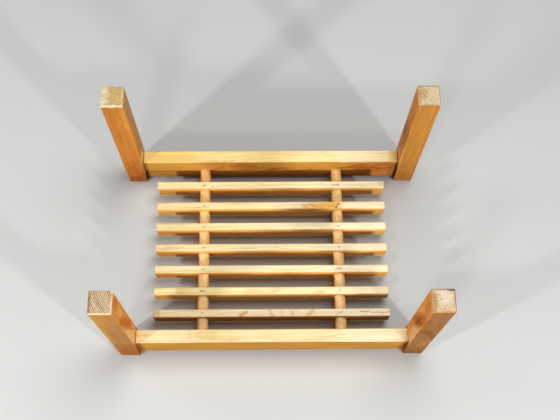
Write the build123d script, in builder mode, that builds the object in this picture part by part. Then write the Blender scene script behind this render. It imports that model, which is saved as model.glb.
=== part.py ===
from build123d import *
import os

# A slatted footstool frame in planed pine. Two side frames, each a rail between two square legs,
# are tied together by two round rods. Seven slats stand on edge on the rods and carry a cushion.
#
# The frame is modelled upside down, as it is stored: feet up, the seat ends of the legs on the floor.
# Millimetres. X runs along the rails, Y across them, +Z up, and the origin is on the floor
# under the middle of the frame.

# Whole frame
FRAME_LENGTH = 680.0  # over the legs, along X
FRAME_WIDTH = 466.0  # over the legs, along Y

# Legs
LEG_SIDE = 45.0
LEG_LENGTH = 410.0
LEG_ARRIS = 2.0  # round on the long edges
LEG_END_ROUND = 4.0  # round on the seat end, which stands free beside the cushion
FOOT_BEVEL = 1.5  # bevel round the foot, so that it doesn't splinter

# Rails, which butt the legs and lie in the middle of the legs' width
RAIL_DEPTH = 88.0
RAIL_THICKNESS = 29.0
RAIL_RISE = 13.0  # from the floor to the rail's seat edge
RAIL_ARRIS = 2.0
RAIL_END_BEVEL = 0.6  # leaves a fine groove where the rail meets the leg

# Fluted pins that join a rail to a leg, half of each pin in either piece
PIN_DIAMETER = 10.0
PIN_FLUTES = 12
PIN_LENGTH = 60.0
PIN_DISTANCE = 48.0  # between the two pins of a joint
PIN_END_BEVEL = 1.5
PIN_HOLE_SPARE = 2.0  # each hole is this much deeper than the half pin in it

# Rods that run from rail to rail, through every slat
ROD_DIAMETER = 25.0
ROD_SPACING = 309.0  # between the two rods
ROD_INSET = 33.0  # from the rail's seat edge to the rods' middle
ROD_SEAT = 16.0  # how far a rod goes into a rail
ROD_HOLE_SPARE = 1.0

# Slats
SLAT_COUNT = 7
SLAT_LENGTH = 528.0
SLAT_DEPTH = 43.0
SLAT_THICKNESS = 17.0
SLAT_GAP = 33.8
SLAT_ARRIS = 1.2  # bevel on every edge

# Nails, one down through each slat into each rod
NAIL_LENGTH = 30.0
NAIL_DIAMETER = 2.0
NAIL_HEAD_DIAMETER = 3.6
NAIL_HEAD_HEIGHT = 1.2
NAIL_POINT = 4.0
NAIL_TIP_DIAMETER = 0.3
NAIL_SIDES = 8  # nails are small and many, so each is drawn with flat sides

GLUE_GAP = 0.1  # round every pin and rod in its hole

# Places that follow from the sizes
LEG_X = (FRAME_LENGTH - LEG_SIDE) / 2
LEG_Y = (FRAME_WIDTH - LEG_SIDE) / 2
BUTT_X = FRAME_LENGTH / 2 - LEG_SIDE
RAIL_MIDDLE_Z = RAIL_RISE + RAIL_DEPTH / 2
RAIL_INNER_Y = LEG_Y - RAIL_THICKNESS / 2
ROD_X = ROD_SPACING / 2
ROD_Z = RAIL_RISE + ROD_INSET
ROD_LENGTH = 2 * (RAIL_INNER_Y + ROD_SEAT)
SLAT_PITCH = SLAT_THICKNESS + SLAT_GAP
SLAT_EDGE_Z = ROD_Z + SLAT_DEPTH / 2
SLAT_YS = [((SLAT_COUNT - 1) / 2 - row) * SLAT_PITCH for row in range(SLAT_COUNT)]
PIN_HOLE_DEPTH = PIN_LENGTH / 2 + PIN_HOLE_SPARE

SIDES = {"left": -1, "right": 1}
ENDS = {"front": -1, "back": 1}


def save(piece, name):
    """Labels a finished piece and writes its STEP file."""
    piece.part.label = name
    export_step(piece.part, f"parts/{name}.step")


def butt_plane(side, end, facing):
    """The face where a rail meets a leg, with its normal along facing times X."""
    origin = (side * BUTT_X, end * LEG_Y, RAIL_MIDDLE_Z)
    return Plane(origin=origin, x_dir=(0, 1, 0), z_dir=(facing, 0, 0))


def drill_pin_holes(side, end, facing):
    """Drills the two holes of one joint into the part in hand."""
    with Locations(butt_plane(side, end, facing)):
        with GridLocations(0, PIN_DISTANCE, 1, 2):
            Hole(PIN_DIAMETER / 2 + GLUE_GAP, PIN_HOLE_DEPTH)


def make_leg(side, end):
    """A square leg with its seat end on the floor and its foot up."""
    with BuildPart() as leg:
        with BuildSketch(Plane(origin=(side * LEG_X, end * LEG_Y, 0))):
            Rectangle(LEG_SIDE, LEG_SIDE)
        extrude(amount=LEG_LENGTH)
        chamfer(leg.faces().sort_by(Axis.Z)[-1].edges(), FOOT_BEVEL)
        fillet(leg.faces().sort_by(Axis.Z)[0].edges(), LEG_END_ROUND)
        fillet(leg.edges().filter_by(Axis.Z), LEG_ARRIS)
        drill_pin_holes(side, end, -side)
    return leg


def make_rail(end):
    """A rail between two legs, drilled for the joint pins and, half through, for the rods."""
    with BuildPart() as rail:
        with BuildSketch(Plane.YZ.offset(-BUTT_X)):
            with Locations((end * LEG_Y, RAIL_MIDDLE_Z)):
                Rectangle(RAIL_THICKNESS, RAIL_DEPTH)
        extrude(amount=2 * BUTT_X)
        chamfer(rail.faces().filter_by(Axis.X).edges(), RAIL_END_BEVEL)
        fillet(rail.edges().filter_by(Axis.X), RAIL_ARRIS)
        for side in SIDES.values():
            drill_pin_holes(side, end, side)
        for side in SIDES.values():
            with Locations(Plane(origin=(side * ROD_X, end * RAIL_INNER_Y, ROD_Z), z_dir=(0, -end, 0))):
                Hole(ROD_DIAMETER / 2 + GLUE_GAP, ROD_SEAT + ROD_HOLE_SPARE)
    return rail


def make_pins():
    """The joint pins, two at each of the four joints."""
    with BuildPart() as pins:
        for side in SIDES.values():
            for end in ENDS.values():
                with BuildSketch(butt_plane(side, end, side).offset(-PIN_LENGTH / 2)):
                    with GridLocations(0, PIN_DISTANCE, 1, 2):
                        RegularPolygon(PIN_DIAMETER / 2, PIN_FLUTES)
                extrude(amount=PIN_LENGTH)
        chamfer(pins.faces().filter_by(Axis.X).edges(), PIN_END_BEVEL)
    return pins


def make_nail():
    """One nail, with the top of its head at the origin and its point down."""
    sections = {
        0: NAIL_HEAD_DIAMETER,
        NAIL_HEAD_HEIGHT: NAIL_DIAMETER,
        NAIL_LENGTH - NAIL_POINT: NAIL_DIAMETER,
        NAIL_LENGTH: NAIL_TIP_DIAMETER,
    }
    with BuildPart() as nail:
        for depth, diameter in sections.items():
            with BuildSketch(Plane.XY.offset(-depth)):
                RegularPolygon(diameter / 2, NAIL_SIDES)
        loft(ruled=True)
    return nail


def nail_places(sides, rows):
    """Where the nails' heads lie, on the upper edges of the slats over the rods."""
    return [(side * ROD_X, y, SLAT_EDGE_Z) for side in sides for y in rows]


def make_rod(side, nail):
    """A round rod, seated in both rails, with the holes of its nails."""
    with BuildPart() as rod:
        with BuildSketch(Plane(origin=(side * ROD_X, ROD_LENGTH / 2, ROD_Z), z_dir=(0, -1, 0))):
            Circle(ROD_DIAMETER / 2)
        extrude(amount=ROD_LENGTH)
        with Locations(*nail_places([side], SLAT_YS)):
            add(nail.part, mode=Mode.SUBTRACT)
    return rod


def make_slat(y, nail):
    """A slat on edge, threaded on both rods and nailed to them."""
    with BuildPart() as slat:
        with BuildSketch(Plane.YZ.offset(-SLAT_LENGTH / 2)):
            with Locations((y, ROD_Z)):
                Rectangle(SLAT_THICKNESS, SLAT_DEPTH)
        extrude(amount=SLAT_LENGTH)
        chamfer(slat.edges(), SLAT_ARRIS)
        for side in SIDES.values():
            with Locations(Plane(origin=(side * ROD_X, y, ROD_Z), z_dir=(0, -1, 0))):
                Hole(ROD_DIAMETER / 2 + GLUE_GAP)
        with Locations(*nail_places(SIDES.values(), [y])):
            add(nail.part, mode=Mode.SUBTRACT)
    return slat


def make_nails(nail):
    """All the nails, one at each crossing of a slat and a rod."""
    with BuildPart() as nails:
        with Locations(*nail_places(SIDES.values(), SLAT_YS)):
            add(nail.part)
    return nails


os.makedirs("parts", exist_ok=True)
one_nail = make_nail()

for end_name, end in ENDS.items():
    for side_name, side in SIDES.items():
        save(make_leg(side, end), f"leg_{end_name}_{side_name}")
    save(make_rail(end), f"rail_{end_name}")

for side_name, side in SIDES.items():
    save(make_rod(side, one_nail), f"rod_{side_name}")

for number, y in enumerate(SLAT_YS, start=1):
    save(make_slat(y, one_nail), f"slat_{number}")

save(make_pins(), "joint_pins")
save(make_nails(one_nail), "slat_nails")
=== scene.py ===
"""Looks of the slatted footstool frame: lacquered pine, bare worn feet, on a plain pale floor."""

import math

import bpy
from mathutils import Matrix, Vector


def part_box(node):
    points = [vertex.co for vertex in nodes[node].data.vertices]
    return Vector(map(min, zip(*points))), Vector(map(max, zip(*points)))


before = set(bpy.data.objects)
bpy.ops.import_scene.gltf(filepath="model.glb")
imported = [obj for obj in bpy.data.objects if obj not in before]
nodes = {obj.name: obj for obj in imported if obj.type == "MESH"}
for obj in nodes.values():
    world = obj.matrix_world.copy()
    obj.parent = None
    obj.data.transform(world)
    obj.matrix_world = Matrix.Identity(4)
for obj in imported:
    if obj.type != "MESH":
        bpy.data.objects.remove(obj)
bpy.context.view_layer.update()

MM = 0.001

# Camera, in metres and degrees
CAMERA_PLACE = (-0.0064, -0.6058, 2.0252)
CAMERA_TURN = (19.572, -0.607, -0.510)
CAMERA_LENS = 57.70


def middle_of(node):
    """The middle of a CAD piece, in mm."""
    low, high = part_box(node)
    return (low + high) / 2 / MM


# Where faces of the CAD pieces lie, in mm
SLAT_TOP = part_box("slat_1")[1].z / MM
RAIL_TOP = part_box("rail_front")[1].z / MM
RAIL_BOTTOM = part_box("rail_front")[0].z / MM
BACK_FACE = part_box("rail_back")[0].y / MM
LEG_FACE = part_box("leg_front_right")[0].x / MM
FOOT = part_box("leg_front_right")[1].z / MM

# The nails go through the slats into the middle of the rods, this far to the left and right
NAIL_X = middle_of("rod_right").x

# The seeds of the wood patterns, and how far apart two patterns lie, in grains of the noise
SEED_STRIDE = 7.31
LEG_SEED = 1
RAIL_SEED = 11
SLAT_SEED = 21
ROD_SEED = 31
PIN_SEED = 41

# Widths of the growth rings, in mm
LEG_RING = 3.3
RAIL_RING = 2.9
SLAT_RING = 2.7
ROD_RING = 1.7
PIN_RING = 1.0

# How far the pith wanders along a trunk, in mm, and how often in a metre, sideways and up
PITH_WANDER = 14
WANDERS = (3.5, 4.5)

# How far the rings ripple, in ring widths, and how often in a metre along and across the grain
RING_RIPPLE = 1.5
RIPPLES = (14, 45)

# Each ring darkens between the first two of these shares of its width, and ends between the others
LATE_WOOD = (0.15, 0.85)
RING_END = (0.90, 1.0)

# Streaks in the wood: (grains per metre along it, grains per metre across it, detail)
FINE_STREAKS = (16, 760, 3.0)
STRANDS = (7, 330, 2.0)
BANDS = (4, 120, 2.0)
CLOUDS = (7, 26, 2.0)
FLECKS = (110, 620, 2.0)
RAGGED_RIMS = (60, 170, 4.0)

# Pores in each metre of end grain
PORES = 330

# One face goes over into the next where a part of the normal, or its square, is between these
LEANING = (0.35, 0.8)
LEANING_SQUARED = (0.3, 0.7)

# A mark fades out from this share of its reach
FULL_MARK = 0.45

# How ragged the rims are of marks, of glossy patches and of swirls
RAGGED = 1.2
SOFT = 0.4
SMOOTH = 0.2

# The worn edges fade out between these depths, in mm
ARRIS = (0.8, 3.2)

# Lacquered and bare wood. The height of the grain is in mm
LACQUER_GLOSS = 0.4
ROD_GLOSS = 0.15
LACQUER_ROUGHNESS = 0.36
COAT_ROUGHNESS = 0.09
BARE_ROUGHNESS = 0.82
GRAIN_HEIGHT = 0.4
GRAIN_BUMP = 0.3


def rgb(red, green, blue):
    """A colour given as it looks on a screen, 0 to 255, made linear for the shader."""

    def linear(level):
        level /= 255
        return level / 12.92 if level <= 0.04045 else ((level + 0.055) / 1.055) ** 2.4

    return (linear(red), linear(green), linear(blue), 1.0)


class Value:
    """A number that flows through a material. Arithmetic on it adds Math nodes."""

    def __init__(self, recipe, socket):
        self.recipe = recipe
        self.socket = socket

    def other(self, name):
        """Another output of the same node."""
        return Value(self.recipe, self.socket.node.outputs[name])

    def maths(self, operation, *terms):
        return self.recipe.node("ShaderNodeMath", {"operation": operation}, dict(enumerate(terms)))

    def __add__(self, other):
        return self.maths("ADD", self, other)

    __radd__ = __add__

    def __sub__(self, other):
        return self.maths("SUBTRACT", self, other)

    def __rsub__(self, other):
        return self.maths("SUBTRACT", other, self)

    def __mul__(self, other):
        return self.maths("MULTIPLY", self, other)

    __rmul__ = __mul__

    def __truediv__(self, other):
        return self.maths("DIVIDE", self, other)

    def __rtruediv__(self, other):
        return self.maths("DIVIDE", other, self)

    def __neg__(self):
        return self.maths("MULTIPLY", self, -1.0)

    def root(self):
        return self.maths("SQRT", self)

    def fraction(self):
        return self.maths("FRACT", self)

    def floor(self):
        return self.maths("FLOOR", self)

    def least(self, other):
        return self.maths("MINIMUM", self, other)

    def most(self, other):
        return self.maths("MAXIMUM", self, other)

    def step(self, start, end, low=0.0, high=1.0):
        """Goes smoothly from low to high while the value goes from start to end."""
        sockets = {0: self, 1: start, 2: end, 3: low, 4: high}
        return self.recipe.node("ShaderNodeMapRange", {"interpolation_type": "SMOOTHSTEP"}, sockets)


class Recipe:
    """One material and the nodes in it."""

    def __init__(self, name):
        self.material = bpy.data.materials.new(name)
        self.material.use_nodes = True
        self.tree = self.material.node_tree
        self.shader = self.tree.nodes["Principled BSDF"]

    def node(self, kind, settings, sockets, output=0):
        """Adds a node, with its settings made first, and gives one of its outputs."""
        made = self.tree.nodes.new(kind)
        for name, setting in settings.items():
            setattr(made, name, setting)
        self.fill(made, sockets)
        return Value(self, made.outputs[output])

    def fill(self, made, sockets):
        """Sets or links the sockets of a node."""
        for key, given in sockets.items():
            if isinstance(given, Value):
                self.tree.links.new(given.socket, made.inputs[key])
            else:
                made.inputs[key].default_value = given

    def finish(self, **sockets):
        """Sets the shader's sockets, named with underscores for spaces, and gives the material."""
        self.fill(self.shader, {name.replace("_", " "): given for name, given in sockets.items()})
        return self.material

    def axes(self, output):
        """The x, y and z of Texture Coordinate's Object or Normal."""
        vector = self.node("ShaderNodeTexCoord", {}, {}, output)
        x = self.node("ShaderNodeSeparateXYZ", {}, {0: vector})
        return x, x.other("Y"), x.other("Z")

    def noise(self, first, second, third, detail=2.0):
        """Soft noise from 0 to 1, whose grains are one unit wide."""
        point = self.node("ShaderNodeCombineXYZ", {}, {0: first, 1: second, 2: third})
        return self.node("ShaderNodeTexNoise", {}, {"Vector": point, "Scale": 1.0, "Detail": detail})

    def seen_directly(self):
        """1 for what the camera sees, also in a reflection, and 0 for what only gives light."""
        camera_ray = self.node("ShaderNodeLightPath", {}, {}, "Is Camera Ray")
        return camera_ray.most(camera_ray.other("Is Glossy Ray"))

    def mix(self, share, first, second, blend="MIX"):
        """A colour between two others."""
        settings = {"data_type": "RGBA", "blend_type": blend}
        return self.node("ShaderNodeMix", settings, {0: share, 6: first, 7: second}, 2)


class Sky(Recipe):
    """The light from all round, made with the same nodes as a material."""

    def __init__(self, name):
        self.world = bpy.data.worlds.new(name)
        self.world.use_nodes = True
        self.tree = self.world.node_tree
        self.shader = self.tree.nodes["Background"]


class Timber(Recipe):
    """Softwood sawn from a trunk. Its grain runs along one axis of the object."""

    def __init__(self, name, grain, seed):
        super().__init__(name)
        x, y, z = self.place = self.axes("Object")
        self.along, self.across, self.height = {"X": (x, y, z), "Y": (y, x, z), "Z": (z, x, y)}[grain]
        self.seed = seed * SEED_STRIDE
        self.ragged = self.streaks(*RAGGED_RIMS) - 0.5
        self.fine = self.streaks(*FINE_STREAKS)
        self.strands = self.streaks(*STRANDS)
        self.bands = self.streaks(*BANDS)
        self.clouds = self.streaks(*CLOUDS)
        self.flecks = self.streaks(*FLECKS).step(0.62, 0.76)
        self.pores = self.noise(*[axis * PORES for axis in self.place], 3.0)
        nx, ny, nz = self.axes("Normal")
        end = {"X": nx, "Y": ny, "Z": nz}[grain]
        self.flank = (nx * nx).step(*LEANING_SQUARED)
        self.top = nz.step(*LEANING)
        self.underside = (-nz).step(*LEANING)
        self.end = (end * end).step(*LEANING_SQUARED)

    def streaks(self, long, narrow, detail):
        """Noise drawn out along the grain: long and narrow are grains per metre."""
        return self.noise(self.along * long + self.seed, self.across * narrow, self.height * narrow, detail)

    def rim(self, gaps, rag):
        """1 near a place and 0 away from it, with a ragged rim where the gap is 1."""
        distance = (gaps[0] * gaps[0] + gaps[1] * gaps[1] + gaps[2] * gaps[2]).root()
        return (distance + self.ragged * rag).step(FULL_MARK, 1.0, 1.0, 0.0)

    def spot(self, middle, reach, rag=RAGGED):
        """1 inside an egg-shaped place given in mm, 0 outside it."""
        sizes = zip(self.place, middle, reach)
        return self.rim([(axis - centre * MM) / (half * MM) for axis, centre, half in sizes], rag)

    def stroke(self, start, stop, width):
        """1 along the line between two points given in mm, 0 a width away from it."""
        start = Vector(start) * MM
        run = Vector(stop) * MM - start
        away = [axis - level for axis, level in zip(self.place, start)]
        share = (away[0] * run.x + away[1] * run.y + away[2] * run.z) / run.length_squared
        share = share.most(0.0).least(1.0)
        return self.rim([(gap - share * part) / (width * MM) for gap, part in zip(away, run)], RAGGED)

    def arris(self, low, high):
        """1 on the edges of the piece, fading inwards. The middle one of three gaps tells how far in."""
        a, b, c = [(axis - start).least(stop - axis) for axis, start, stop in zip(self.place, low, high)]
        return a.least(b).most(a.most(b).least(c)).step(ARRIS[0] * MM, ARRIS[1] * MM, 1.0, 0.0)

    def late_wood(self, pith, ring, swirl):
        """Growth rings round the pith: 0 in pale early wood, which deepens to a thin late line."""
        sway = self.noise(self.along * WANDERS[0] + self.seed, self.seed, 0.0) - 0.5
        lift = self.noise(self.along * WANDERS[1] + self.seed, self.seed + 9, 0.0) - 0.5
        a = self.across - pith[0] * MM + sway * (PITH_WANDER * MM)
        b = self.height - pith[1] * MM + lift * (PITH_WANDER * MM)
        ripple = self.streaks(*RIPPLES, 2.0) - 0.5
        phase = ((a * a + b * b).root() + swirl) / (ring * MM) + ripple * RING_RIPPLE
        year = phase.fraction()
        line = year.step(*LATE_WOOD) * year.step(*RING_END, 1.0, 0.0)
        strength = self.noise(phase.floor() * 1.73 + self.seed, 0.0, 0.0).step(0.34, 0.66, 0.25, 1.0)
        return line * strength

    def brightness(self, fleck, grit):
        """About 1. It changes with the streaks and the clouds, and drops in flecks and pores."""
        grain = (self.fine - 0.5) * 0.5 + (self.strands - 0.5) * 0.5 + (self.bands - 0.5) * 0.4
        level = 1 + grain * (1 - self.top * 0.35) + (self.clouds - 0.5) * (0.55 - self.top * 0.3)
        level = level - self.flecks * (fleck + self.end * 0.2)
        return level + (self.pores - 0.5) * (self.end * 1.2 + grit)

    def browning(self, level):
        """A tint that turns wood browner as the level falls: red falls less than green, blue more."""
        fall = level - 1
        return self.node("ShaderNodeCombineColor", {}, {0: fall * 0.7 + 1, 1: level, 2: fall * 1.4 + 1})


def face_tones(wood, late, tones):
    """The plain colour of each face, from its tones for early and late wood. Each facing has tones of its
    own, and this is partly painted light: the pale tops stand partly for the strong light from above, and
    the front faces and flanks of the legs were toned apart for how the light falls on each.
    """
    side_depth, top_depth, end_depth = tones["depth"]
    colour = wood.mix(late * side_depth, *tones["side"])
    if "flank" in tones:
        colour = wood.mix(wood.flank, colour, wood.mix(late * side_depth, *tones["flank"]))
    colour = wood.mix(wood.top, colour, wood.mix(late * top_depth, *tones["top"]))
    colour = wood.mix(wood.underside, colour, wood.mix(late * side_depth, *tones["under"]))
    return wood.mix(wood.end, colour, wood.mix(late * end_depth, *tones["end"]))


def lay_marks(wood, colour, marks, lines):
    """A colour with the marks and then the lines laid over it, and where they make the lacquer dull."""
    masks = [(wood.spot(middle, reach), tone, share) for middle, reach, tone, share in marks]
    for *points, width, tone, share in lines:
        for start, stop in zip(points, points[1:]):
            masks.append((wood.stroke(start, stop, width), tone, share))
    dull = 0.0
    for mask, tone, share in masks:
        cover = mask * share
        colour = wood.mix(cover, colour, tone)
        dull = cover.most(dull)
    return colour, dull


def pine(node, grain, pith, ring, seed, tones, marks=(), lines=(), bare=0.0, gloss=LACQUER_GLOSS):
    """Lacquered pine for one CAD piece. Its ends have no lacquer where bare is 1."""
    wood = Timber(f"{node}_wood", grain, seed)
    swirl = 0.0
    for middle, reach, bend in SWIRLS.get(node, ()):
        swirl = wood.spot(middle, reach, SMOOTH) * (bend * MM) + swirl
    late = wood.late_wood(pith, ring, swirl)
    colour, dull = lay_marks(wood, face_tones(wood, late, tones), marks, lines)
    level = wood.brightness(tones["fleck"], tones["grit"])
    colour = wood.mix(1.0, colour, wood.browning(level), "MULTIPLY")
    wear = wood.arris(*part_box(node)) * wood.bands.step(0.36, 0.72) * (1 - wood.end)
    colour = wood.mix(wear * 0.3, colour, tones["worn"])
    relief = wood.fine * 0.5 + late * 0.35 - wood.flecks * 0.8 + wood.pores * wood.end
    heights = {"Strength": GRAIN_BUMP, "Distance": GRAIN_HEIGHT * MM, "Height": relief}
    bump = wood.node("ShaderNodeBump", {}, heights)
    bare_end = wood.end * bare
    roughness = LACQUER_ROUGHNESS + wood.fine * 0.14 + wood.bands * 0.08 + wear * 0.2
    roughness = roughness * (1 - bare_end) + bare_end * BARE_ROUGHNESS
    coat = gloss * (0.2 + wood.top * 0.8 + wood.flank * 0.15) * (0.7 + wood.clouds * 0.6)
    coat = coat * (1 - bare_end) * (1 - wear * 0.5) * (1 - dull)
    for middle, reach, polish in POLISH.get(node, ()):
        coat = coat + wood.spot(middle, reach, SOFT) * wood.flank * polish
    wood.finish(Base_Color=colour, Roughness=roughness, Normal=bump, Coat_Weight=coat)
    return wood.finish(Coat_Roughness=COAT_ROUGHNESS, Specular_IOR_Level=0.0)


# The tones below are pairs of early and late wood. "depth" is how deep the late lines are on the
# sides, the top and the ends, "fleck" and "grit" how strong the flecks and the pores are, and
# "worn" is the tone of worn edges
AGED = (rgb(206, 138, 48), rgb(160, 88, 24))

LEG_FINISH = {
    "under": AGED,
    "fleck": 0.2,
    "grit": 0.15,
    "worn": rgb(232, 178, 104),
}
RAIL_FINISH = {
    "under": AGED,
    "end": AGED,
    "depth": (0.6, 0.65, 0.6),
    "fleck": 0.2,
    "grit": 0.0,
    "worn": rgb(240, 202, 130),
}
SLAT_FINISH = {
    "side": (rgb(244, 186, 94), rgb(206, 136, 52)),
    "under": (rgb(226, 170, 92), rgb(186, 120, 56)),
    "end": (rgb(222, 162, 80), rgb(160, 98, 40)),
    "depth": (0.65, 0.65, 0.85),
    "fleck": 0.2,
    "grit": 0.0,
    "worn": rgb(246, 214, 150),
}
ROD_FINISH = {
    "side": (rgb(246, 200, 130), rgb(198, 138, 78)),
    "top": (rgb(252, 210, 142), rgb(204, 146, 86)),
    "under": (rgb(222, 170, 104), rgb(180, 122, 68)),
    "end": (rgb(222, 176, 116), rgb(170, 118, 66)),
    "depth": (0.45, 0.45, 0.7),
    "fleck": 0.35,
    "grit": 1.5,
    "worn": rgb(230, 184, 120),
}

# Each leg: the pith of its trunk in mm, its tones, how deep the late lines are on it, and the
# darker tone of its low end, partly darker lacquer of the seat end and partly painted shade near the floor
# The side and flank tones of the legs are partly painted light and shade, set for how the light falls on
# each face
LEGS = {
    "front_left": {
        "pith": (-236, -160),
        "side": (rgb(188, 134, 74), rgb(164, 108, 54)),
        "flank": (rgb(240, 166, 82), rgb(198, 116, 46)),
        "foot": (rgb(236, 208, 170), rgb(96, 62, 40)),
        "depth": (0.55, 0.9, 1.0),
        "low_stain_and_shade": rgb(166, 98, 54),
    },
    "front_right": {
        "pith": (250, -140),
        "side": (rgb(170, 118, 68), rgb(144, 93, 50)),
        "flank": (rgb(236, 162, 78), rgb(196, 112, 46)),
        "foot": (rgb(224, 202, 166), rgb(188, 154, 112)),
        "depth": (0.55, 0.9, 0.4),
        "low_stain_and_shade": rgb(154, 94, 54),
    },
    "back_left": {
        "pith": (-260, 150),
        "side": (rgb(206, 132, 56), rgb(178, 98, 40)),
        "flank": (rgb(198, 140, 80), rgb(164, 108, 60)),
        "foot": (rgb(210, 178, 120), rgb(172, 130, 80)),
        "depth": (0.55, 0.9, 0.4),
        "low_stain_and_shade": rgb(168, 80, 36),
    },
    "back_right": {
        "pith": (250, 260),
        "side": (rgb(212, 146, 62), rgb(178, 108, 44)),
        "flank": (rgb(208, 132, 62), rgb(178, 100, 44)),
        "foot": (rgb(220, 200, 162), rgb(168, 134, 88)),
        "depth": (0.55, 0.9, 0.6),
        "low_stain_and_shade": rgb(176, 106, 46),
    },
}

# Each rail: the pith of its trunk in mm, its tones, and how dark its left and right seams are
# The pale top tones of the rails are partly painted light from above
RAILS = {
    "front": {
        "pith": (-200, -40),
        "side": (rgb(212, 152, 66), rgb(170, 106, 36)),
        "top": (rgb(238, 214, 154), rgb(220, 178, 106)),
        "seams": (0.7, 0.35),
    },
    "back": {
        "pith": (232, 20),
        "side": (rgb(216, 158, 68), rgb(162, 96, 38)),
        "top": (rgb(252, 224, 152), rgb(232, 190, 106)),
        "seams": (0.6, 0.9),
    },
}

# The top tones of the slats, from the back one to the front one
# The paleness of these top tones is partly painted light from above
SLAT_TOPS = (
    (rgb(249, 231, 177), rgb(230, 194, 126)),
    (rgb(246, 225, 166), rgb(226, 186, 116)),
    (rgb(246, 232, 178), rgb(232, 196, 130)),
    (rgb(247, 226, 170), rgb(224, 182, 118)),
    (rgb(245, 229, 178), rgb(230, 194, 130)),
    (rgb(244, 226, 166), rgb(224, 186, 118)),
    (rgb(255, 236, 188), rgb(255, 206, 150)),
)
# The front slat's side is darker: partly darker wood, partly painted shade from the front rail beside it
FRONT_SLAT_SIDE_WITH_SHADE = (rgb(206, 156, 96), rgb(174, 122, 68))

# The pith of a slat lies up to the first to its front or back, at a height that sways, in mm
SLAT_PITH_ASIDE = 30
SLAT_PITH_HEIGHT = -30
SLAT_PITH_SWAY = 10

# The pith of a rod: how far to its right, and how high. The pith of all pins: its y and z, in mm
ROD_PITH = (40, 60)
PIN_PITH = (100, 100)

# How dark the bruises round the left and the right nail are, from the back slat to the front one
NAIL_BRUISES = ((0.5, 0.4), (0.25, 0.4), (0.4, 0.12), (0.35, 0.3), (0.3, 0.5), (0.5, 0.12), (0.1, 0.3))

BRUISE = rgb(150, 122, 88)
OLD_STAIN = rgb(236, 160, 40)
GRAIN_BROWN = rgb(160, 86, 34)
GRAIN_TAN = rgb(206, 150, 84)
GRAIN_GREY = rgb(166, 118, 84)
SPLIT_GRAIN = rgb(184, 130, 84)
SMUDGED_GRAIN = rgb(184, 136, 90)
JOINT_DIRT_AND_SHADE = rgb(96, 48, 18)
OPEN_SEAM = rgb(70, 40, 20)
PALE_WOOD_AND_HIGHLIGHT = rgb(255, 242, 208)

# How far up and down the dirt and painted shade of a joint reach, in mm
LEG_JOINT_DARK_REACH = 44
RAIL_JOINT_DARK_REACH = 58

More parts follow.
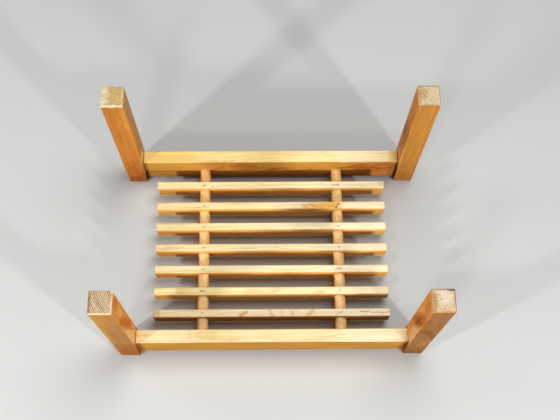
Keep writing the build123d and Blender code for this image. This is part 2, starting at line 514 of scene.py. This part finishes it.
# Marks: (middle in mm, reach in mm, tone, share)
MARKS = {
    "slat_1": [
        ((256, 154, SLAT_TOP), (9, 7, 4), rgb(214, 160, 92), 0.4),
    ],
    "slat_2": [
        ((98, 101, 67), (34, 15, 10), rgb(240, 192, 104), 0.7),
        ((134, 100, 67), (34, 16, 10), rgb(240, 188, 88), 0.95),
        # The next two marks are painted light and shade on the front face: a lit patch at the left end and
        # a darker stretch to the right
        ((-225, 92, 45), (80, 4, 40), rgb(255, 218, 136), 0.5),
        ((185, 92, 45), (50, 4, 40), rgb(204, 130, 62), 0.45),
    ],
    "slat_3": [
        # Painted light: a lit patch at the right end of the front face
        ((244, 41.5, 45), (34, 4, 40), rgb(255, 212, 130), 0.5),
    ],
    "slat_4": [
        ((60, -1, 45), (60, 12, 16), rgb(196, 112, 40), 0.4),
        # The next three marks are painted light and shade on the front face, where the lamps' lit patches
        # and the slats' shadows fall
        ((-225, -9.5, 45), (70, 4, 40), rgb(204, 142, 72), 0.5),
        ((192, -9.5, 45), (54, 4, 40), rgb(255, 222, 142), 0.5),
        ((-43, -9.5, 45), (50, 4, 40), rgb(255, 206, 120), 0.3),
    ],
    "slat_5": [
        # The next three marks are painted shade on the front face
        ((-240, -60.5, 45), (50, 4, 40), rgb(196, 134, 68), 0.55),
        ((170, -60.5, 45), (60, 4, 40), rgb(200, 138, 68), 0.4),
        ((43, -60.5, 45), (50, 4, 40), rgb(200, 138, 68), 0.4),
    ],
    "slat_6": [
        # Painted shade on the front face
        ((215, -113, 40), (75, 6, 34), rgb(134, 76, 38), 0.6),
    ],
    "slat_7": [
        ((-258, -152.4, 67), (14, 14, 9), rgb(206, 152, 96), 0.5),
    ],
    "rail_back": [
        ((-110, BACK_FACE, 84), (70, 7, 30), rgb(176, 106, 40), 0.5),
        ((-62, BACK_FACE, 74), (40, 7, 36), rgb(160, 84, 32), 0.55),
        ((250, BACK_FACE, 56), (70, 7, 70), rgb(230, 130, 62), 0.5),
        ((214, BACK_FACE, 58), (34, 7, 36), rgb(160, 80, 36), 0.5),
        # The next two marks are painted shade: a darker band along the foot of this face, where the slats
        # shade it, and a darker strip beside the right leg
        ((5, BACK_FACE, 15), (290, 6, 32), rgb(130, 92, 62), 0.35),
        ((286, BACK_FACE, 50), (12, 6, 70), rgb(146, 84, 44), 0.45),
        ((-240, 210, RAIL_TOP), (90, 34, 10), rgb(244, 200, 104), 0.6),
        # Paler at the right end of the top: partly paler wood, partly a painted highlight
        ((215, 210, RAIL_TOP), (90, 34, 8), rgb(255, 240, 202), 0.5),
        ((288, 210, RAIL_TOP), (20, 34, 10), rgb(248, 204, 124), 0.7),
    ],
    "rail_front": [
        ((-284, -210, RAIL_TOP), (16, 34, 10), rgb(240, 194, 116), 0.45),
        ((-225, -210, RAIL_TOP), (80, 44, 6), rgb(248, 232, 190), 0.5),
        # Paler at the right end of the top: partly paler wood, partly a painted highlight
        ((230, -210, RAIL_TOP), (110, 44, 6), rgb(252, 240, 206), 0.6),
        # The next two marks are painted shadow of the legs on the rail's front face, beside each leg
        ((290, -225, 50), (12, 6, 60), rgb(150, 76, 30), 0.6),
        ((-290, -225, 60), (10, 6, 50), rgb(186, 104, 46), 0.5),
    ],
    "rod_right": [
        ((150, -58, 58), (3, 4, 4), rgb(58, 34, 18), 0.9),
    ],
    "leg_front_left": [
        ((-340, -233, 240), (14, 20, 330), rgb(216, 160, 84), 0.45),
        ((-318, -233, FOOT), (40, 8, 120), rgb(206, 148, 66), 0.4),
        ((-318, -233, 60), (34, 8, 110), rgb(178, 104, 54), 0.5),
        ((-338, -210, FOOT), (5, 34, 7), rgb(126, 90, 62), 0.6),
        ((-297, -202, 375), (8, 18, 36), rgb(206, 116, 34), 0.6),
        ((-297, -212, 318), (8, 22, 34), rgb(250, 192, 98), 0.5),
        ((-317, -232.5, FOOT), (34, 3.2, 6), rgb(248, 228, 184), 0.9),
        ((-295.5, -210, FOOT), (3.0, 34, 6), rgb(246, 222, 172), 0.85),
        # Painted shade: the strip of the inner face in front of the rail
        ((-LEG_FACE, -229, 50), (4, 7, 80), rgb(176, 92, 40), 0.7),
    ],
    "leg_front_right": [
        ((340, -233, 300), (9, 14, 120), rgb(200, 126, 60), 0.5),
        ((328, -233, 110), (22, 14, 46), rgb(196, 132, 72), 0.5),
        ((317, -233, 5), (44, 14, 40), rgb(120, 72, 44), 0.5),
        ((297, -214, FOOT), (10, 40, 8), rgb(190, 138, 94), 0.8),
        ((339.5, -210, FOOT), (3.2, 34, 7), rgb(160, 108, 68), 0.8),
        ((332, -189.5, FOOT), (13, 5, 7), rgb(84, 62, 46), 0.8),
        ((312, -189, FOOT), (24, 3, 7), rgb(160, 112, 70), 0.6),
        ((317, -232, FOOT), (34, 3, 7), rgb(206, 146, 90), 0.7),
        ((321, -205, FOOT), (16, 17, 7), rgb(248, 236, 214), 0.5),
        # Painted shade: the strip of the inner face in front of the rail
        ((LEG_FACE, -229, 50), (4, 7, 80), rgb(132, 56, 24), 0.85),
        ((LEG_FACE, -193, 165), (5, 22, 64), rgb(196, 110, 48), 0.65),
        ((LEG_FACE, -219, 364), (5, 34, 44), rgb(200, 112, 46), 0.55),
    ],
    "leg_back_left": [
        ((-LEG_FACE, 188, 280), (7, 14, 230), rgb(232, 164, 66), 0.5),
        ((-301, 188, 360), (10, 6, 100), rgb(228, 160, 70), 0.6),
        ((-338, 212, 411), (17, 40, 9), rgb(240, 228, 196), 0.7),
        ((-317, 188.5, FOOT), (34, 4, 7), rgb(244, 226, 188), 0.85),
        ((-296, 212, FOOT), (3, 34, 7), rgb(236, 208, 150), 0.6),
        # The next two marks are painted shade on the strip of the inner face in front of the rail, darkest
        # near the floor
        ((-LEG_FACE, 192, 78), (4, 7, 50), rgb(150, 86, 42), 0.7),
        ((-LEG_FACE, 192, 22), (4, 7, 42), rgb(46, 22, 12), 0.95),
    ],
    "leg_back_right": [
        # Painted light: a lighter, golden patch on the inner face, where the front left leg's shadow falls
        # and the rail's top is mirrored
        ((LEG_FACE, 205, 150), (6, 44, 120), rgb(255, 174, 98), 0.85),
        ((298, 214, FOOT), (6, 34, 9), rgb(196, 142, 82), 0.7),
        ((306, 214, FOOT), (12, 17, 7), rgb(168, 130, 84), 0.45),
        ((317, 232, FOOT), (34, 3.4, 7), rgb(158, 118, 78), 0.7),
        ((317, 188.5, FOOT), (34, 3, 7), rgb(150, 104, 62), 0.6),
        ((340, 212, FOOT), (3, 34, 7), rgb(186, 138, 84), 0.6),
        # Painted shade: the strip of the inner face in front of the rail
        ((LEG_FACE, 192, 50), (4, 8, 70), rgb(78, 28, 12), 0.95),
    ],
}

# Grain lines, knots and bruises: (points in mm, width in mm, tone, share)
LINES = {
    "slat_1": [
        ((142, 151.2, SLAT_TOP), (159, 151.4, SLAT_TOP), 1.5, rgb(104, 78, 52), 0.7),
        ((-162, 149, SLAT_TOP), (-153, 151, SLAT_TOP), 1.8, BRUISE, 0.5),
        ((-142, 152.5, SLAT_TOP), (-135, 147, SLAT_TOP), 1.8, BRUISE, 0.35),
    ],
    "slat_2": [
        ((74, 100, SLAT_TOP), (83, 97.5, SLAT_TOP), 3.0, rgb(226, 164, 80), 0.7),
        ((90, 104, SLAT_TOP), (97, 99, SLAT_TOP), (106, 97.5, SLAT_TOP), 2.6, rgb(216, 150, 66), 0.6),
        ((111, 97, SLAT_TOP), (124, 95.5, SLAT_TOP), 2.2, rgb(222, 158, 66), 0.6),
        ((131, 100, SLAT_TOP), (143, 99, SLAT_TOP), (150, 95.5, SLAT_TOP), 2.0, rgb(212, 146, 58), 0.6),
        ((157.5, 105.2, SLAT_TOP), (150, 95.5, SLAT_TOP), 1.9, rgb(128, 70, 30), 0.85),
        ((-176, 97.6, SLAT_TOP), (-143, 98.4, SLAT_TOP), 1.5, rgb(140, 112, 80), 0.45),
    ],
    "slat_4": [
        ((-252, -7, SLAT_TOP), (-243, -1, SLAT_TOP), (-233, 3, SLAT_TOP), 1.3, GRAIN_TAN, 0.45),
        ((-243, -7, SLAT_TOP), (-232, 0, SLAT_TOP), (-220, 5, SLAT_TOP), 1.3, GRAIN_TAN, 0.5),
        ((-233, -7, SLAT_TOP), (-224, -1, SLAT_TOP), (-212, 4, SLAT_TOP), 1.3, GRAIN_TAN, 0.45),
        ((-222, -6, SLAT_TOP), (-213, -1, SLAT_TOP), (-200, 3, SLAT_TOP), 1.3, GRAIN_TAN, 0.35),
    ],
    "slat_5": [
        ((146, -52.4, SLAT_TOP), (154, -50, SLAT_TOP), (160, -52, SLAT_TOP), 1.6, rgb(120, 94, 66), 0.6),
    ],
    "slat_6": [
        ((-160, -101.2, SLAT_TOP), (-153, -102, SLAT_TOP), 2.2, rgb(90, 68, 48), 0.8),
        ((-151, -99.6, SLAT_TOP), (-148, -101.2, SLAT_TOP), 1.6, rgb(104, 80, 56), 0.6),
    ],
    "slat_7": [
        ((-69, -157.5, SLAT_TOP), (-57, -151, SLAT_TOP), 6.0, OLD_STAIN, 0.65),
        ((-5, -147, SLAT_TOP), (1, -160, SLAT_TOP), 5.0, OLD_STAIN, 0.45),
        ((22, -148, SLAT_TOP), (24, -158, SLAT_TOP), 4.0, OLD_STAIN, 0.2),
        ((45, -149, SLAT_TOP), (47, -158, SLAT_TOP), 3.2, OLD_STAIN, 0.45),
        ((79, -161, SLAT_TOP), (91, -147, SLAT_TOP), 6.5, OLD_STAIN, 0.5),
        ((142, -159.4, SLAT_TOP), (150, -152, SLAT_TOP), (158, -150.6, SLAT_TOP), 1.8, SMUDGED_GRAIN, 0.4),
        ((197, -149.4, SLAT_TOP), (205, -151.2, SLAT_TOP), (216, -151, SLAT_TOP), 2.4, SPLIT_GRAIN, 0.5),
        ((222, -154.2, SLAT_TOP), (235, -152.8, SLAT_TOP), 2.4, GRAIN_GREY, 0.45),
        ((235, -152.8, SLAT_TOP), (248, -154, SLAT_TOP), (260, -152, SLAT_TOP), 2.6, GRAIN_GREY, 0.4),
        ((232, -158, SLAT_TOP), (246, -156.8, SLAT_TOP), 2.0, rgb(190, 140, 98), 0.35),
    ],
    "rail_back": [
        ((158, BACK_FACE, 58), (188, BACK_FACE, 72), (210, BACK_FACE, 84), 9, GRAIN_BROWN, 0.4),
        ((236, BACK_FACE, 70), (252, BACK_FACE, 83), (274, BACK_FACE, 84), 5, GRAIN_BROWN, 0.45),
        ((236, BACK_FACE, 70), (254, BACK_FACE, 60), (280, BACK_FACE, 64), 5, GRAIN_BROWN, 0.45),
        ((36, BACK_FACE, 52), (64, BACK_FACE, 45), (92, BACK_FACE, 54), 9, GRAIN_BROWN, 0.45),
        ((-22, BACK_FACE, 44), (2, BACK_FACE, 56), (30, BACK_FACE, 66), 8, GRAIN_BROWN, 0.4),
        ((-142, BACK_FACE, 56), (-112, BACK_FACE, 68), 9, GRAIN_BROWN, 0.4),
    ],
    "leg_front_left": [
        ((-LEG_FACE, -224, 310), (-LEG_FACE, -198, 176), 12, rgb(188, 98, 28), 0.55),
    ],
    "leg_front_right": [
        ((LEG_FACE, -197, 200), (LEG_FACE, -231, 326), 18, rgb(170, 84, 36), 0.65),
        ((LEG_FACE, -208, 222), (LEG_FACE, -218, 266), 12, rgb(136, 60, 24), 0.5),
        ((310, -233, 240), (338, -233, 176), 13, rgb(136, 76, 42), 0.5),
    ],
}

# Where the lacquer of the legs is still glossy, beside the rails: (middle in mm, reach in mm, share)
POLISH = {
    "leg_front_left": [((-LEG_FACE, -224, 160), (8, 30, 110), 0.55)],
    "leg_front_right": [((LEG_FACE, -227, 165), (8, 27, 105), 0.55)],
    "leg_back_left": [((-LEG_FACE, 199, 116), (8, 31, 34), 0.9)],
    "leg_back_right": [((LEG_FACE, 199, 116), (8, 31, 34), 0.9)],
}

# Swirls bend the growth rings round a knot: (middle in mm, reach in mm, how far in mm)
SWIRLS = {
    "slat_2": [((130, 101, 62), (50, 16, 20), 7), ((160, 99, 66), (12, 12, 14), 4)],
    "slat_7": [((-20, -152, 60), (70, 16, 20), 8), ((220, -150, 64), (40, 14, 14), 5)],
    "rail_back": [((90, BACK_FACE, 58), (190, 26, 28), 11), ((259, BACK_FACE, 74), (26, 18, 14), 8)],
    "leg_front_right": [((LEG_FACE, -210, 256), (20, 22, 66), 7)],
    "leg_front_left": [((-300, -205, 300), (20, 30, 90), 6)],
}

# Steel of the nail heads, clean and rusty, and how many grains of rust there are in a metre
NAIL_STEEL = rgb(204, 178, 140)
NAIL_RUST = rgb(164, 136, 100)
RUST_GRAINS = 900

# The floor, in metres: how wide it is, and from where to where it fades to the backdrop
FLOOR_WIDTH = 14
FLOOR_FADE = (1.0, 2.1)

# The floor near the object, far off, and as the light that it throws back on the object
FLOOR_NEAR = rgb(208, 210, 208)
FLOOR_FAR = rgb(112, 113, 112)
FLOOR_BOUNCE = rgb(84, 85, 83)
BLACK = rgb(0, 0, 0)

# The pale grey far behind the object, and the grey light from all round
BACKDROP = rgb(148, 149, 148)
SKY_LIGHT = (0.135, 0.135, 0.135, 1.0)

# Lamps: (name, place in metres, width in metres, power in watts, what it points at)
DECK = (0.0, 0.0, 0.05)
LAMPS = (
    ("overhead", (0.55, 0.6, 2.7), 1.6, 43, DECK),
    ("front_left_low", (-1.88, -1.32, 0.80), 0.2, 32, DECK),
    ("front_right_low", (1.55, -1.72, 0.80), 0.2, 32, DECK),
    ("front_high", (-0.75, -1.75, 2.2), 0.4, 10, DECK),
    ("left_fill", (-1.9, 0.75, 0.7), 0.4, 5, (0.3, 0.2, 0.2)),
)


def dress(node, material):
    """Gives a CAD piece its finish."""
    piece = nodes[node]
    piece.data.materials.clear()
    piece.data.materials.append(material)


def joint_dirt_and_shade(x, y, reach):
    """Glue and dirt where the end of a rail meets a leg, and painted shade in the corner there."""
    return [((x, y, (RAIL_BOTTOM + RAIL_TOP) / 2), (4.5, 24, reach), JOINT_DIRT_AND_SHADE, 0.8)]


def joint_line(x, y, share):
    """The open seam seen on top of a rail where it meets a leg."""
    return ((x, y - 14, RAIL_TOP), (x, y + 14, RAIL_TOP), 1.8, OPEN_SEAM, share)


def low_end_stain_and_shade(x, y, tone):
    """Darker towards the end that the cushion rests against, low by the floor: partly darker lacquer,
    partly painted shade.
    """
    return [((x, y, -20), (70, 70, 190), tone, 0.55)]


def dress_legs():
    for seed, (place, leg) in enumerate(LEGS.items(), LEG_SEED):
        node = f"leg_{place}"
        x, y, _ = middle_of(node)
        tones = LEG_FINISH | leg | {"top": leg["foot"], "end": leg["foot"]}
        marks = low_end_stain_and_shade(x, y, leg["low_stain_and_shade"])
        marks += joint_dirt_and_shade(math.copysign(LEG_FACE, x), y, LEG_JOINT_DARK_REACH) + MARKS[node]
        lines = LINES.get(node, [])
        dress(node, pine(node, "Z", leg["pith"], LEG_RING, seed, tones, marks, lines, bare=1.0))


def dress_rails():
    for seed, (side, rail) in enumerate(RAILS.items(), RAIL_SEED):
        node = f"rail_{side}"
        y = middle_of(node).y
        marks = []
        lines = list(LINES.get(node, []))
        for x, share in zip((-LEG_FACE, LEG_FACE), rail["seams"]):
            marks += joint_dirt_and_shade(x, y, RAIL_JOINT_DARK_REACH)
            lines.append(joint_line(x, y, share))
        marks += MARKS[node]
        dress(node, pine(node, "X", rail["pith"], RAIL_RING, seed, RAIL_FINISH | rail, marks, lines))


def slat_pith(number, y):
    """The middle of the trunk that a slat was sawn from: below it, in another place for each slat."""
    height = SLAT_PITH_HEIGHT - SLAT_PITH_SWAY * math.cos(number)
    return (y + SLAT_PITH_ASIDE * math.sin(number * 2.1), height)


def pale_end_and_highlight(y):
    """Paler towards the right end of a slat: partly paler wood, partly a painted highlight."""
    return [((215, y, SLAT_TOP), (110, 40, 5), PALE_WOOD_AND_HIGHLIGHT, 0.5)]


def nail_smudges(y, shares):
    """Grey bruises round the two nails of a slat."""
    return [((x, y, SLAT_TOP), (6, 2.2, 3), BRUISE, share) for x, share in zip((-NAIL_X, NAIL_X), shares)]


def dress_slats():
    for number, (top, bruises) in enumerate(zip(SLAT_TOPS, NAIL_BRUISES), 1):
        node = f"slat_{number}"
        y = middle_of(node).y
        tones = SLAT_FINISH | {"top": top}
        # The front slat gets its darker side, which is partly painted shade
        if number == len(SLAT_TOPS):
            tones["side"] = FRONT_SLAT_SIDE_WITH_SHADE
        marks = pale_end_and_highlight(y) + nail_smudges(y, bruises) + MARKS.get(node, [])
        pith = slat_pith(number, y)
        lines = LINES.get(node, [])
        dress(node, pine(node, "X", pith, SLAT_RING, SLAT_SEED + number, tones, marks, lines))


def dress_rods():
    for seed, side in enumerate(("left", "right"), ROD_SEED):
        node = f"rod_{side}"
        pith = (middle_of(node).x + ROD_PITH[0], ROD_PITH[1])
        dress(node, pine(node, "Y", pith, ROD_RING, seed, ROD_FINISH, MARKS.get(node, []), gloss=ROD_GLOSS))


def dress_fixings():
    dress("joint_pins", pine("joint_pins", "X", PIN_PITH, PIN_RING, PIN_SEED, ROD_FINISH, gloss=0.0))
    nail = Recipe("nail_steel")
    rust = nail.noise(*[axis * RUST_GRAINS for axis in nail.axes("Object")])
    colour = nail.mix(rust.step(0.4, 0.65), NAIL_STEEL, NAIL_RUST)
    dress("slat_nails", nail.finish(Base_Color=colour, Metallic=0.15, Roughness=rust * 0.3 + 0.5))


def make_floor():
    """A plain pale floor that fades to the backdrop far off."""
    bpy.ops.object.select_all(action="DESELECT")
    bpy.ops.mesh.primitive_plane_add(size=FLOOR_WIDTH)
    floor = bpy.context.object
    floor.name = "floor"
    paint = Recipe("floor_paint")
    seen = paint.seen_directly()
    x, y, _ = paint.axes("Object")
    far = (x * x + y * y).root().step(*FLOOR_FADE)
    colour = paint.mix(seen, FLOOR_BOUNCE, paint.mix(far, FLOOR_NEAR, FLOOR_FAR))
    glow = paint.mix(seen * far, BLACK, BACKDROP)
    paint.finish(Base_Color=colour, Roughness=0.9, Specular_IOR_Level=0.0)
    floor.data.materials.append(paint.finish(Emission_Color=glow, Emission_Strength=1.0))


def add_lamp(name, place, width, power, aim):
    """A round soft lamp that faces what it points at."""
    lamp = bpy.data.lights.new(name, "AREA")
    lamp.shape = "DISK"
    lamp.size = width
    lamp.energy = power
    holder = bpy.data.objects.new(name, lamp)
    bpy.context.scene.collection.objects.link(holder)
    holder.location = place
    holder.rotation_euler = (holder.location - Vector(aim)).to_track_quat("Z", "Y").to_euler()


def light_studio():
    for lamp in LAMPS:
        add_lamp(*lamp)
    sky = Sky("studio")
    colour = sky.mix(sky.seen_directly(), SKY_LIGHT, BACKDROP)
    sky.fill(sky.shader, {"Color": colour, "Strength": 1.0})
    bpy.context.scene.world = sky.world
    bpy.context.scene.view_settings.view_transform = "Standard"


def set_camera():
    camera = bpy.data.objects.new("camera", bpy.data.cameras.new("camera"))
    camera.location = CAMERA_PLACE
    camera.rotation_euler = [math.radians(turn) for turn in CAMERA_TURN]
    camera.data.lens = CAMERA_LENS
    bpy.context.scene.collection.objects.link(camera)
    bpy.context.scene.camera = camera


dress_legs()
dress_rails()
dress_slats()
dress_rods()
dress_fixings()
make_floor()
light_studio()
set_camera()
